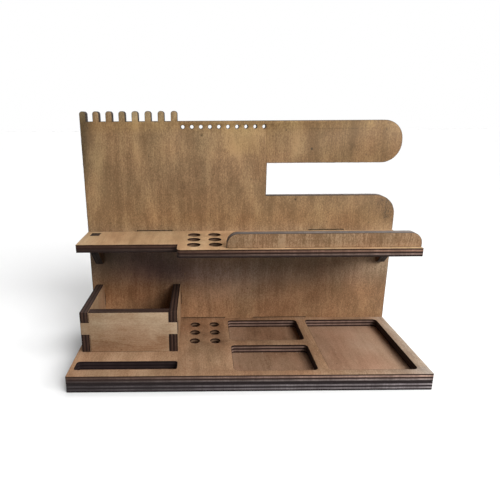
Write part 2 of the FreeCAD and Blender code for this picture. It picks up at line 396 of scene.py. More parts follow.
@dataclass(frozen=True)
class Layer:
    """One layer of noise in a finish.

    Args:
        length: Length of its marks along the grain.
        width: Width of its marks across the grain.
        detail: Number of finer layers in it.
        roughness: Strength of those finer layers.
    """

    length: float
    width: float
    detail: float = 2.0
    roughness: float = 0.6

    def at(self, graph: Graph, along: Socket, across: Socket, plane: Feed = PATTERN_PLANE) -> Socket:
        """Return the layer's noise at a place on a board."""
        return graph.noise(self.place(graph, along, across, plane), self.detail, self.roughness)

    def place(self, graph: Graph, along: Socket, across: Socket, plane: Feed = PATTERN_PLANE) -> Socket:
        """Return a place on a board in units of the layer's marks."""
        length = graph.math("DIVIDE", along, self.length)
        return graph.vector(length, graph.math("DIVIDE", across, self.width), plane)


class Finish(ABC):
    """A surface finish that is made into one material."""

    name: str

    @abstractmethod
    def paint(self, graph: Graph) -> None:
        """Add the finish's nodes to an empty tree."""


@cache
def material_of(finish: Finish) -> bpy.types.Material:
    """Return the one material of a finish, made at its first use.

    Args:
        finish: The finish.

    Returns:
        Its material.
    """
    material = bpy.data.materials.new(finish.name)
    finish.paint(Graph(material))
    return material


@dataclass(frozen=True)
class Veneer:
    """How birch veneer is drawn: its layers of noise, and the shares that they give.

    Args:
        wander: Drift of the grain from side to side.
        wander_reach: Width of that drift.
        streak_wander: Share of the drift that single streaks follow.
        figure: Broad bands along the grain.
        blotch: Uneven stain.
        grain: Grain that shows from a step away.
        line: Fine grain lines.
        mottle: Fine mottling.
        tone_mean: Tone that these layers vary around.
        tone_low: Darkest tone that they give.
        tone_high: Lightest tone that they give.
        tones: Tones of the deep, dark, middle and light colour.
        hue: Drift of the stain's hue.
        blushed: Share of the blush in that drift.
        pore: Open pores.
        pitted: Share of the dark colour in a pore.
        fleck: Spacing of small flecks.
        dot: Share of a fleck at a distance from its middle, in units of the spacing.
        pale_from: Least mark of a cell with a pale fleck.
        pale_share: Strength of the pale flecks.
        burnt_to: Greatest mark of a cell with a dark fleck.
        burnt_share: Strength of the dark flecks.
        rough_reach: Range of the roughness along the grain lines.
        line_height: Height of the grain lines over the pores.
        relief: Depth of the relief.
    """

    wander: Layer = Layer(95.0, 34.0, 1.0, 0.5)
    wander_reach: float = 11.0
    streak_wander: float = 0.4
    figure: Layer = Layer(130.0, 9.0, 3.0, 0.55)
    blotch: Layer = Layer(26.0, 15.0, 4.0, 0.62)
    grain: Layer = Layer(30.0, 2.8)
    line: Layer = Layer(9.0, 0.85, 3.0)
    mottle: Layer = Layer(1.2, 0.75)
    tone_mean: float = 0.5
    tone_low: float = 0.24
    tone_high: float = 0.9
    tones: tuple[float, float, float, float] = (0.0, 0.18, 0.5, 0.95)
    hue: Layer = Layer(46.0, 30.0)
    blushed: Band = Band(0.36, 0.64)
    pore: Layer = Layer(3.4, 0.34, 1.0, 0.5)
    pitted: Band = Band(0.62, 0.74, 0.0, 0.3)
    fleck: Layer = Layer(19.0, 14.0)
    dot: Band = Band(0.02, 0.055, 1.0, 0.0)
    pale_from: float = 0.72
    pale_share: float = 0.55
    burnt_to: float = 0.2
    burnt_share: float = 0.5
    rough_reach: float = 0.22
    line_height: float = 0.7
    relief: float = 0.12


@dataclass(frozen=True)
class StainedFace(Finish):
    """Stained birch veneer: blotched stain, wandering figure, grain, dark pores and small flecks.

    Args:
        name: Name of the material.
        deep: Colour of the darkest marks.
        dark: Colour where the stain is heavy.
        middle: Usual colour.
        light: Colour where the veneer took little stain.
        figure: Strength of the broad bands along the grain.
        blotch: Strength of the uneven stain.
        grain: Strength of the grain that shows from a step away.
        line: Strength of the fine grain lines.
        mottle: Strength of the fine mottling.
        blush: Hue that the stain drifts to in patches.
        roughness: Mean roughness.
        shine: Specular level.
        offset: Move of the grain along itself, so that no two finishes have the same.
        marked: Face with the streaks and tinges.
        streaks: Single streaks, knots and scores of that face.
        tinges: Patches of another hue on that face, some of them painted shade, bounce light or sheen.
        veneer: How the veneer is drawn.
    """

    name: str
    deep: Colour
    dark: Colour
    middle: Colour
    light: Colour
    figure: float = 0.8
    blotch: float = 0.9
    grain: float = 0.3
    line: float = 0.5
    mottle: float = 1.0
    blush: Colour = (1.05, 0.96, 0.94)
    roughness: float = 0.62
    shine: float = 0.1
    offset: float = 0.0
    marked: Side = Side.UPPER
    streaks: tuple[Streak, ...] = ()
    tinges: tuple[Tinge, ...] = ()
    veneer: Veneer = Veneer()

    def paint(self, graph: Graph) -> None:
        """Add the finish's nodes to an empty tree.

        Args:
            graph: The material's tree.
        """
        veneer = self.veneer
        along, across, through = graph.place()
        grown = graph.math("ADD", along, self.offset)
        marked = graph.math(self.marked.value, through, MID_DEPTH)
        wander = veneer.wander.at(graph, grown, across)
        wander = graph.math("MULTIPLY_ADD", wander, veneer.wander_reach, -veneer.wander_reach / 2)
        flow = graph.math("ADD", across, wander)
        line = veneer.line.at(graph, grown, flow)
        tone: Feed = veneer.tone_mean
        for noise, strength in (
            (veneer.figure.at(graph, grown, flow), self.figure),
            (veneer.blotch.at(graph, grown, across), self.blotch),
            (veneer.grain.at(graph, grown, flow), self.grain),
            (line, self.line),
            (veneer.mottle.at(graph, grown, across), self.mottle),
        ):
            tone = graph.math("ADD", graph.math("MULTIPLY_ADD", noise, strength, -strength / 2), tone)
        tone = graph.math("MINIMUM", graph.math("MAXIMUM", tone, veneer.tone_low), veneer.tone_high)
        drift = graph.math("MULTIPLY_ADD", wander, veneer.streak_wander, across)
        for streak in self.streaks:
            tone = graph.math("MULTIPLY_ADD", streak.tone_at(graph, along, drift), marked, tone)
        colour = graph.ramp(tone, self.stops())
        blushed = graph.span(veneer.hue.at(graph, grown, across), veneer.blushed)
        colour = graph.mix(blushed, colour, self.blush, Blend.TINT)
        # Tinges: the stain's other hues, and on some boards painted shade, bounce light and sheen.
        for tinge in self.tinges:
            share = graph.math("MULTIPLY", tinge.patch.tone_at(graph, along, across), marked)
            colour = graph.mix(share, colour, tinge.hue, Blend.TINT)
        pitted = graph.span(veneer.pore.at(graph, grown, flow), veneer.pitted)
        pale, burnt = self.flecks(graph, grown, across)
        for share, other in ((pitted, self.dark), (pale, self.light), (burnt, self.deep)):
            colour = graph.mix(share, colour, other)
        least = self.roughness - veneer.rough_reach / 2
        roughness = graph.math("MULTIPLY_ADD", line, veneer.rough_reach, least)
        height = graph.math("SUBTRACT", graph.math("MULTIPLY", line, veneer.line_height), pitted)
        graph.surface(colour, roughness, height, veneer.relief, self.shine)

    def stops(self) -> Iterable[tuple[float, Colour]]:
        """Return the tones of the stain with their colours."""
        return zip(self.veneer.tones, (self.deep, self.dark, self.middle, self.light))

    def flecks(self, graph: Graph, along: Socket, across: Socket) -> tuple[Socket, Socket]:
        """Return the shares of small pale and dark flecks, scattered over the board.

        Args:
            graph: Tree to add the nodes to.
            along: Place along the grain.
            across: Place across the grain.

        Returns:
            The pale share and the dark share.
        """
        veneer = self.veneer
        feeds = {"Vector": veneer.fleck.place(graph, along, across), "Scale": 1.0}
        cells = graph.node("TexVoronoi", feeds, voronoi_dimensions="2D")
        mark = graph.node("SeparateColor", {"Color": cells.outputs["Color"]}).outputs["Red"]
        dot = graph.span(cells.outputs["Distance"], veneer.dot)
        pale = graph.math("MULTIPLY", dot, graph.math("GREATER_THAN", mark, veneer.pale_from))
        burnt = graph.math("MULTIPLY", dot, graph.math("LESS_THAN", mark, veneer.burnt_to))
        return (
            graph.math("MULTIPLY", pale, veneer.pale_share),
            graph.math("MULTIPLY", burnt, veneer.burnt_share),
        )


@dataclass(frozen=True)
class Scorch:
    """How a laser-cut edge is drawn: its layers of noise, and the shares that they give.

    Args:
        cross_plies: Where the paler cross plies start and end, as shares of the board.
        ply_soft: Half of the soft band between two plies, as a share of the board.
        ripple: Wave of the plies.
        ripple_reach: Height of that wave, as a share of the board.
        cloud: Broad scorched stretches.
        clouded: Share of the paler colour in them.
        patch: Small scorched patches.
        patched: Share of the paler colour in them.
        beam: Fine marks of the beam.
        beamed: Share of the paler colour in them.
        fibre: Single fibres along the edge.
        fibre_rows: Rows of fibres in a board.
        frayed: Share of the paler colour that the fibres add.
        side_fall: Power with which the painted shade on an edge fades from the left end to the right.
        facing: Sideways part of the direction of a wall that faces left, and of one that doesn't, for the
            painted shade on walls that face away from the light.
        tinted: Share of the tint through the board.
        roughness: Roughness of the fibres.
        relief: Depth of the relief.
        shine: Specular level.
    """

    cross_plies: tuple[tuple[float, float], ...] = ((0.2, 0.4), (0.6, 0.8))
    ply_soft: float = 0.018
    ripple: Layer = Layer(7.0, 7.0)
    ripple_reach: float = 0.05
    cloud: Layer = Layer(21.0, 21.0)
    clouded: Band = Band(0.3, 0.7, 0.6, 1.15)
    patch: Layer = Layer(3.5, 3.5)
    patched: Band = Band(0.3, 0.7, 0.75, 1.15)
    beam: Layer = Layer(0.5, 0.5)
    beamed: Band = Band(0.25, 0.75, 0.75, 1.12)
    fibre: Layer = Layer(2.6, 2.6)
    fibre_rows: float = 34.0
    frayed: Band = Band(0.55, 0.85, 0.0, 0.12)
    side_fall: float = 1.5
    facing: tuple[float, float] = (-0.9, -0.3)
    tinted: Band = Band(0.35, 0.75, 1.0, 0.0)
    roughness: Band = Band(0.2, 0.8, 0.48, 0.72)
    relief: float = 0.1
    shine: float = 0.1

    def stops(self) -> list[tuple[float, Colour]]:
        """Return the stops of a ramp through the board that is white in the cross plies.

        Returns:
            Places on the ramp and their colours.
        """
        soft = self.ply_soft
        stops = [(0.0, BLACK)]
        for low, high in self.cross_plies:
            stops += [(low - soft, BLACK), (low + soft, WHITE)]
            stops += [(high - soft, WHITE), (high + soft, BLACK)]
        return stops


@dataclass(frozen=True)
class BurntEdge(Finish):
    """Laser-cut edge: charred face and core plies with paler cross plies between them, darkened by
    painted shade towards the stand's left end and on walls that face left.

    Args:
        name: Name of the material.
        char: Colour of a charred ply.
        core: Colour of a scorched cross ply.
        painted_shade_left_share: Share of the paler colour that is left at the stand's left end, a
            painted shade for light that comes from the right.
        left_facing_char_and_shade_share: Share of the paler colour that is left on walls that face left,
            partly darker char and partly painted shade away from the light.
        tint: Factor on the colour near the board's upper face, where it is browner.
        offset: Move of the pattern along the grain, so that edges above each other differ.
        scorch: How the edge is drawn.
    """

    name: str
    char: Colour
    core: Colour
    # Painted shade: these two shares darken the paler plies towards the left end and on walls that face
    # left.
    painted_shade_left_share: float = 1.0
    left_facing_char_and_shade_share: float = 1.0
    tint: Colour | None = None
    offset: float = 0.0
    scorch: Scorch = Scorch()

    def paint(self, graph: Graph) -> None:
        """Add the finish's nodes to an empty tree.

        Args:
            graph: The material's tree.
        """
        scorch = self.scorch
        along, across, through = graph.place()
        along = graph.math("ADD", along, self.offset)
        ripple = scorch.ripple.at(graph, along, across)
        wave = graph.math("MULTIPLY_ADD", ripple, scorch.ripple_reach, -scorch.ripple_reach / 2)
        pale = graph.ramp(graph.math("ADD", through, wave), scorch.stops())
        # Painted shade: the paler plies darken towards the left end and on walls that face left.
        pale = graph.math("MULTIPLY", pale, self.painted_shade_share(graph))
        beam = scorch.beam.at(graph, along, across)
        for noise, band in (
            (scorch.cloud.at(graph, along, across), scorch.clouded),
            (scorch.patch.at(graph, along, across), scorch.patched),
            (beam, scorch.beamed),
        ):
            pale = graph.math("MULTIPLY", pale, graph.span(noise, band))
        rows = graph.math("MULTIPLY", through, scorch.fibre_rows)
        fibre = scorch.fibre.at(graph, along, across, rows)
        pale = graph.math("ADD", pale, graph.span(fibre, scorch.frayed), clamp=True)
        colour = graph.mix(pale, self.char, self.core)
        if self.tint:
            colour = graph.mix(graph.span(through, scorch.tinted), colour, self.tint, Blend.TINT)
        roughness = graph.span(fibre, scorch.roughness)
        graph.surface(colour, roughness, beam, scorch.relief, scorch.shine)

    def painted_shade_share(self, graph: Graph) -> Socket:
        """Return the share of the paler colour that the painted shade leaves, by the place in the stand
        and the wall's direction.

        Args:
            graph: Tree to add the nodes to.

        Returns:
            The share, which is 1 at the right end on walls that don't face left.
        """
        sideways, _, _ = graph.split(graph.node("TexCoord").outputs["Object"])
        reach = HALF_WIDTH * MM
        side = graph.math("POWER", graph.span(sideways, Band(-reach, reach)), self.scorch.side_fall)
        share = graph.math("MULTIPLY_ADD", side, 1.0 - self.painted_shade_left_share, self.painted_shade_left_share)
        across, _, _ = graph.split(graph.node("NewGeometry").outputs["Normal"])
        turned = graph.span(across, Band(*self.scorch.facing, self.left_facing_char_and_shade_share, 1.0))
        return graph.math("MULTIPLY", share, turned)


@dataclass(frozen=True)
class Dressing:
    """The finishes of one board.

    Args:
        face: Finish of its faces.
        cut: Finish of its outline.
        bore: Finish of its round holes.
        slot: Finish of its narrow slots.
        recess: Finish of its wide cut-outs, whose walls that face left are darker, partly char and partly
            painted shade.
    """

    face: Finish
    cut: Finish
    bore: Finish = BurntEdge("bore_edge", (0.032, 0.015, 0.009), (0.160, 0.095, 0.056))
    slot: Finish = BurntEdge("slot_edge", (0.013, 0.008, 0.009), (0.036, 0.025, 0.024))
    recess: Finish = BurntEdge(
        "recess_edge",
        char=(0.020, 0.010, 0.008),
        core=(0.250, 0.160, 0.125),
        # Partly char and partly painted shade: walls that face left keep little of the paler colour.
        left_facing_char_and_shade_share=0.12,
    )

    def finish(self, skin: Skin) -> Finish:
        """Return the finish of one kind of surface."""
        return (self.face, self.cut, self.bore, self.slot, self.recess)[skin.value]


@dataclass(frozen=True)
class PlyBoard:
    """One flat plywood board of the stand.

    Args:
        node: Name of the board in the frame.
        through: Axis of its thickness.
        grain: Axis that its face grain runs along.
        dressing: Its finishes.
        covered: Whether another board lies on its upper face.
    """

    node: str
    through: Axis
    grain: Axis
    dressing: Dressing
    covered: bool = False

    @property
    def across(self) -> Axis:
        """Return the axis across the face grain."""
        return Axis(sum(axis.value for axis in Axis) - self.through.value - self.grain.value)

    def build(self, source: bpy.types.Object, profile: CutProfile) -> bpy.types.Object:
        """Build the board's mesh over its outline in the frame.

        Args:
            source: The board in the frame.
            profile: Section of its cut edges.

        Returns:
            The new board.
        """
        cad = bmesh.new()
        cad.from_mesh(source.data)
        bmesh.ops.remove_doubles(cad, verts=cad.verts, dist=WELD)
        axis = self.through.value
        heights = [vert.co[axis] for vert in cad.verts]
        top, low = max(heights), min(heights)
        face = [part for part in cad.faces if all(vert.co[axis] > top - WELD for vert in part.verts)]
        made = self.cut_out(face, profile.levels((top - low) / MM, self.covered))
        mesh = bpy.data.meshes.new(f"{self.node}_ply")
        made.to_mesh(mesh)
        made.free()
        cad.free()
        mesh.set_sharp_from_angle(angle=math.radians(SHARP_ANGLE))
        self.mark_places(mesh, top, low)
        board = bpy.data.objects.new(f"{self.node}_ply", mesh)
        bpy.context.scene.collection.objects.link(board)
        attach(board, BODY)
        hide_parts(self.node)
        return board

    def cut_out(self, face: Sequence[bmesh.types.BMFace], levels: Sequence[Level]) -> bmesh.types.BMesh:
        """Cut the board out along the rims of its upper face.

        Args:
            face: The triangles of its upper face.
            levels: Rings of its cut edges, from the upper face down.

        Returns:
            The board's closed mesh.
        """
        axis = self.through.value
        loops = rim_loops(face)
        slant = {vert: Vector() for part in face for vert in part.verts}
        for loop in loops:
            slant.update(inward_slants(loop, axis))
        rim = [vert for loop in loops for vert in loop]
        down = Vector()
        down[axis] = -MM
        made = bmesh.new()
        rings = []
        for level in levels:
            members = slant if level in (levels[0], levels[-1]) else rim
            drop = down * level.depth
            inset = level.inset * MM
            rings.append({vert: made.verts.new(vert.co + drop + slant[vert] * inset) for vert in members})
        for part in face:
            made.faces.new([rings[0][vert] for vert in part.verts])
            made.faces.new([rings[-1][vert] for vert in reversed(part.verts)])
        for loop in loops:
            wall_skin = skin_of(loop, axis)
            for upper, lower, level in zip(rings, rings[1:], levels):
                plain = level.skin is Skin.FACE and wall_skin is Skin.CUT
                for here, there in zip(loop, loop[1:] + loop[:1]):
                    wall = made.faces.new((upper[here], lower[here], lower[there], upper[there]))
                    wall.material_index = (Skin.FACE if plain else wall_skin).value
                    wall.smooth = True
        return made

    def dress(self, board: bpy.types.Object) -> None:
        """Give the built board the finishes of the surfaces that it has.

        Args:
            board: The built board.
        """
        faces = board.data.polygons
        used = sorted({face.material_index for face in faces})
        for index in used:
            board.data.materials.append(material_of(self.dressing.finish(Skin(index))))
        for face in faces:
            face.material_index = used.index(face.material_index)

    def mark_places(self, mesh: bpy.types.Mesh, top: float, low: float) -> None:
        """Write each point's place along, across and through the board to the mesh.

        Args:
            mesh: Mesh of the board.
            top: Upper face's place on the thickness axis.
            low: Lower face's place on that axis.
        """
        places = mesh.attributes.new(PLACE, "FLOAT_VECTOR", "POINT")
        for vert, place in zip(mesh.vertices, places.data):
            place.vector = (
                vert.co[self.grain.value] / MM,
                vert.co[self.across.value] / MM,
                (top - vert.co[self.through.value]) / (top - low),
            )


def rim_loops(face: Sequence[bmesh.types.BMFace]) -> list[list[bmesh.types.BMVert]]:
    """Return the closed rims of a flat face, each with the material on its left.

    Args:
        face: The triangles that make up the face.

    Returns:
        The corners of each rim in order.
    """
    members = set(face)
    following = {}
    for part in face:
        for corner in part.loops:
            if not members.issuperset(corner.edge.link_faces):
                following[corner.vert] = corner.link_loop_next.vert
    loops = []
    while following:
        start, here = following.popitem()
        loop = [start]
        while here is not start:
            loop.append(here)
            here = following.pop(here)
        loops.append(loop)
    return loops


def skin_of(loop: Sequence[bmesh.types.BMVert], axis: int) -> Skin:
    """Return the kind of wall below a rim: a round bore's, a slot's, a wide recess's or the outline's.

    Args:
        loop: Corners of the rim in order.
        axis: Axis of the board's thickness.

    Returns:
        The kind of surface.
    """
    middle = sum((vert.co for vert in loop), Vector()) / len(loop)
    radii = [(vert.co - middle).length for vert in loop]
    if len(loop) > BORE_CORNERS and max(radii) - min(radii) < BORE_TOLERANCE * MM:
        return Skin.BORE
    spans = sorted(max(values) - min(values) for values in zip(*(vert.co for vert in loop)))
    if spans[1] < SLOT_WIDTH * MM:
        return Skin.SLOT
    turned = sum((here.co.cross(there.co) for here, there in zip(loop, loop[1:] + loop[:1])), Vector())
    return Skin.CUT if turned[axis] > 0 else Skin.RECESS


def inward_slants(loop: Sequence[bmesh.types.BMVert], axis: int) -> dict[bmesh.types.BMVert, Vector]:
    """Return how far each corner moves for an inset of one length unit.

    Args:
        loop: Corners of a rim in order.
        axis: Axis of the board's thickness.

    Returns:
        The move of each corner, towards the material.
    """
    normal = Vector()
    normal[axis] = 1.0
    slants = {}
    for before, here, after in zip(loop[-1:] + loop[:-1], loop, loop[1:] + loop[:1]):
        first = normal.cross(here.co - before.co).normalized()
        second = normal.cross(after.co - here.co).normalized()
        slants[here] = (first + second) / (1.0 + first.dot(second))
    return slants


@dataclass
class SubAssembly(ABC):
    """A group of boards that are cut and finished alike.

    Args:
        profile: Section of the boards' cut edges.
        made: The boards built so far.
    """

    profile: CutProfile = CutProfile()
    made: list[bpy.types.Object] = field(default_factory=list)

    @abstractmethod
    def boards(self) -> tuple[PlyBoard, ...]:
        """Return the boards of the group."""

    def build(self, nodes: dict[str, bpy.types.Object]) -> None:
        """Build the boards' meshes over the frame's nodes of the same names."""
        self.made = [board.build(nodes[board.node], self.profile) for board in self.boards()]

    def dress(self) -> None:
        """Give the boards their face and edge finishes."""
        for board, made in zip(self.boards(), self.made):
            board.dress(made)


@dataclass
class BaseStack(SubAssembly):
    """The two base boards, one on the other, with the grain from front to back.

    Args:
        lower_edge: Finish of the lower board's edges, its cross plies greyed by a painted sheen.
        upper_edge: Finish of the upper board's edges, browner towards its top, its cross plies greyed by
            a painted sheen.
        floor: Finish of the lower board, which shows as the floor of the trays, redder under the shelf,
            partly its hue and partly painted bounce light.
        top: Finish of the upper board, with a painted sheen along its right margin and the right of its
            front margin, and painted bounce light near the panel.
    """

    lower_edge: Finish = BurntEdge(
        "base_lower_edge",
        char=(0.021, 0.0155, 0.0160),
        # Greyish cross plies: partly their own colour, partly a painted sheen.
        core=(0.410, 0.355, 0.358),
        # Painted shade: the paler plies darken towards the stand's left end.
        painted_shade_left_share=0.16,
        offset=310.0,
    )
    upper_edge: Finish = BurntEdge(
        "base_upper_edge",
        char=(0.022, 0.0150, 0.0145),
        # Greyish cross plies: partly their own colour, partly a painted sheen.
        core=(0.390, 0.325, 0.310),
        # Painted shade: the paler plies darken towards the stand's left end.
        painted_shade_left_share=0.16,
        tint=(1.65, 1.30, 1.08),
        offset=620.0,
    )
    floor: Finish = StainedFace(
        "tray_floor_stain",
        deep=(0.080, 0.043, 0.025),
        dark=(0.185, 0.107, 0.063),
        middle=(0.282, 0.176, 0.113),
        light=(0.385, 0.260, 0.180),
        figure=0.5,
        blotch=0.5,
        grain=0.2,
        line=0.35,
        mottle=0.6,
        offset=310.0,
        streaks=(
            Streak(19, 0, 33, 60, -0.28),
            Streak(70, -16, 10, 14, -0.12),
            Streak(96, 12, 16, 20, 0.18),
            Streak(96, -30, 10, 9, 0.12),
        ),
        # Redder under the shelf: partly the stain's hue, partly painted bounce light.
        tinges=(Tinge(Streak(19, 20, 32, 16, 0.8), (1.0, 0.93, 0.88)),),
    )
    top: Finish = StainedFace(
        "base_stain",
        deep=(0.080, 0.045, 0.026),
        dark=(0.185, 0.109, 0.062),
        middle=(0.270, 0.166, 0.094),
        light=(0.398, 0.265, 0.165),
        offset=620.0,
        streaks=(
            Streak(-88, -20, 42, 30, 0.14),
            Streak(-30, -32, 16, 14, 0.08),
            Streak(-28, 14, 18, 20, -0.10),
        ),
        tinges=(
            # Paler, greyer right margin and right front margin: partly the stain's tone, partly a painted
            # sheen.
            Tinge(Streak(128, 0, 14, 60, 1.0), (1.25, 1.60, 2.10)),
            Tinge(Streak(108, -44, 34, 7, 0.8), (1.09, 1.28, 1.58)),
            # Redder near the panel, under the shelf: partly the stain's hue, partly painted bounce light.
            Tinge(Streak(-20, 36, 60, 22, 0.9), (0.93, 0.82, 0.76)),
        ),
    )

    def boards(self) -> tuple[PlyBoard, ...]:
        """Return the lower and the upper base board."""
        lower = Dressing(self.floor, self.lower_edge)
        return (
            PlyBoard("base_bottom_board", Axis.UP, Axis.DEPTH, lower, covered=True),
            PlyBoard("base_top_board", Axis.UP, Axis.DEPTH, Dressing(self.top, self.upper_edge)),
        )


@dataclass
class BackPanel(SubAssembly):
    """The back panel with its comb and arms, its grain upright.

    Args:
        edge: Finish of its edges.
        streaks: Streaks, knots and scores of its front.
        tinges: Patches of another hue on its front, among them the painted shadow, bounce light and
            reflected light below the shelf.
        face: Finish of its faces.
    """

    edge: Finish = BurntEdge(
        "panel_edge",
        char=(0.024, 0.016, 0.013),
        core=(0.240, 0.175, 0.140),
        # Painted shade: the paler plies darken towards the stand's left end.
        painted_shade_left_share=0.3,
    )
    streaks: tuple[Streak, ...] = (
        Streak(-102.8, 183, 3, 5, -0.22),
        Streak(-92.8, 183, 3, 5, -0.10),
        Streak(-65, 183, 22, 6, 0.12),
        Streak(-112, 160, 5.5, 26, 0.26),
        Streak(-118, 112, 5, 22, 0.20),
        Streak(-78, 138, 4.5, 40, 0.32, -0.18),
        Streak(-55, 160, 3, 10, 0.18),
        Streak(-20, 157, 3.5, 12, 0.22),
        Streak(2, 164, 14, 12, 0.34),
        Streak(6, 130, 5, 30, 0.24, -0.35),
        Streak(43, 163, 5.5, 17, 0.36, 0.12),
        Streak(-52, 134, 40, 16, -0.15),
        Streak(60, 104, 14, 9, 0.14),
        Streak(119, 110, 9, 11, -0.38),
        Streak(-76, 176, 9, 7, 0.26),
        Streak(9, 167, 8, 9, 0.18),
        Streak(-108, 117, 5, 18, 0.20),
        Streak(-117, 146, 3.5, 14, 0.14),
        Streak(87, 157, 4, 5, -0.14),
        Streak(68, 172.4, 50, 0.5, -0.12),
        Streak(55, 157, 0.8, 1, -0.5),
        Streak(44, 117, 0.7, 0.9, -0.5),
        Streak(-31, 168, 0.9, 1, -0.4),
        Streak(-12.5, 156.5, 1, 1.2, -0.35),
    )
    tinges: tuple[Tinge, ...] = (
        Tinge(Streak(-122.5, 172, 5, 46, 1.0, 0.12), (0.40, 0.41, 0.37)),
        Tinge(Streak(-88, 186, 60, 6.5, 1.0), (1.14, 1.32, 1.65)),
        Tinge(Streak(0, 180, 300, 9, 0.8), (1.05, 1.03, 0.86)),
        Tinge(Streak(2, 165, 18, 12, 0.7), (1.03, 1.04, 0.90)),
        Tinge(Streak(-52, 136, 42, 14, 0.7), (0.96, 1.00, 1.05)),
        Tinge(Streak(-10, 94, 60, 12, 0.6), (1.06, 0.98, 0.88)),
        # Redder low down: partly the stain's hue, partly painted bounce light from the base.
        Tinge(Streak(20, 16, 200, 44, 1.0), (1.08, 0.96, 1.00)),
        # Greyer under the shelf: partly the stain's hue, partly a painted reflection of the white
        # surroundings in the shade.
        Tinge(Streak(20, 70, 200, 24, 1.0), (1.09, 1.32, 1.76)),
        # Painted shadow of the shelf over its left part, darker and bluer.
        Tinge(Streak(-78, 66, 42, 20, 1.0, -1.0), (0.56, 0.53, 0.70)),
        # Redder at the top of the box's left part: partly the stain's hue, partly painted bounce light.
        Tinge(Streak(-96, 44, 34, 18, 1.0), (1.10, 0.98, 0.95)),
        # Paler and greyer under the shelf's middle: painted light and reflection in the shade.
        Tinge(Streak(-12, 48, 44, 18, 1.0), (1.16, 1.30, 1.56)),
        # Paler beside the box, low down: painted light.
        Tinge(Streak(-30, 20, 24, 16, 1.0), (1.08, 1.12, 1.17)),
        Tinge(Streak(110, 150, 60, 60, 0.7), (0.99, 0.95, 0.87)),
    )
    face: Finish = StainedFace(
        "panel_stain",
        deep=(0.050, 0.034, 0.016),
        dark=(0.163, 0.095, 0.039),
        middle=(0.254, 0.157, 0.074),
        light=(0.424, 0.280, 0.136),
        figure=0.75,
        blotch=1.05,
        mottle=1.2,
        shine=0.38,
        marked=Side.LOWER,
        streaks=streaks,
        tinges=tinges,
    )

    def boards(self) -> tuple[PlyBoard, ...]:
        """Return the panel."""
        return (PlyBoard("back_panel", Axis.DEPTH, Axis.UP, Dressing(self.face, self.edge)),)


@dataclass
class ShelfUnit(SubAssembly):
    """The holed shelf, the lip on it and the two gussets under it.

    Args:
        shelf_edge: Finish of the shelf's edges, browner towards its top.
        lip_edge: Finish of the lip's edges.
        gusset_edge: Finish of the gussets' edges, darkened as painted shade.
        shelf: Finish of the shelf.
        lip: Finish of the lip, paler along its foot.
        gusset: Finish of the gussets, their stain darkened as painted shade.
    """

    shelf_edge: Finish = BurntEdge(
        "shelf_edge",
        char=(0.020, 0.0115, 0.0095),
        core=(0.280, 0.200, 0.168),
        # Painted shade: the paler plies darken towards the stand's left end.
        painted_shade_left_share=0.06,
        tint=(1.50, 1.20, 1.00),
        offset=810.0,
    )
    lip_edge: Finish = BurntEdge(
        "lip_edge",
        char=(0.055, 0.042, 0.036),
        core=(0.320, 0.275, 0.250),
        # Painted shade: the paler plies darken towards the stand's left end.
        painted_shade_left_share=0.4,
        offset=1080.0,
    )
    # Painted shade: the gussets' edges are coloured nearly as dark as the shade under the shelf.
    gusset_edge: Finish = BurntEdge(
        "gusset_edge",
        char=(0.024, 0.017, 0.014),
        core=(0.060, 0.043, 0.035),
        # Painted shade: the paler plies darken towards the stand's left end.
        painted_shade_left_share=0.5,
        offset=1350.0,
    )
    shelf: Finish = StainedFace(
        "shelf_stain",
        deep=(0.090, 0.052, 0.028),
        dark=(0.300, 0.190, 0.100),
        middle=(0.420, 0.278, 0.153),
        light=(0.550, 0.388, 0.228),
        figure=1.0,
        blotch=0.7,
        mottle=0.6,
        offset=810.0,
    )
    lip: Finish = StainedFace(
        "lip_stain",
        deep=(0.080, 0.046, 0.025),
        dark=(0.185, 0.110, 0.056),
        middle=(0.260, 0.164, 0.088),
        light=(0.405, 0.273, 0.160),
        figure=0.85,
        grain=0.9,
        line=1.3,
        mottle=1.6,
        offset=1080.0,
        marked=Side.LOWER,
        streaks=(Streak(50, 91.5, 200, 2.6, 0.24),),
    )
    # Painted shade: the gussets' stain is darkened to the shade under the shelf.
    gusset: Finish = StainedFace(
        "gusset_stain_and_painted_shade",
        deep=(0.040, 0.026, 0.018),
        dark=(0.085, 0.054, 0.034),
        middle=(0.140, 0.090, 0.055),
        light=(0.215, 0.142, 0.086),
        offset=1350.0,
    )

    def boards(self) -> tuple[PlyBoard, ...]:
        """Return the shelf, its lip and its gussets."""
        upright = Dressing(self.gusset, self.gusset_edge)
        return (
            PlyBoard("shelf_board", Axis.UP, Axis.DEPTH, Dressing(self.shelf, self.shelf_edge)),
            PlyBoard("shelf_lip", Axis.DEPTH, Axis.UP, Dressing(self.lip, self.lip_edge)),
            PlyBoard("left_bracket", Axis.ACROSS, Axis.UP, upright),
            PlyBoard("right_bracket", Axis.ACROSS, Axis.UP, upright),
        )


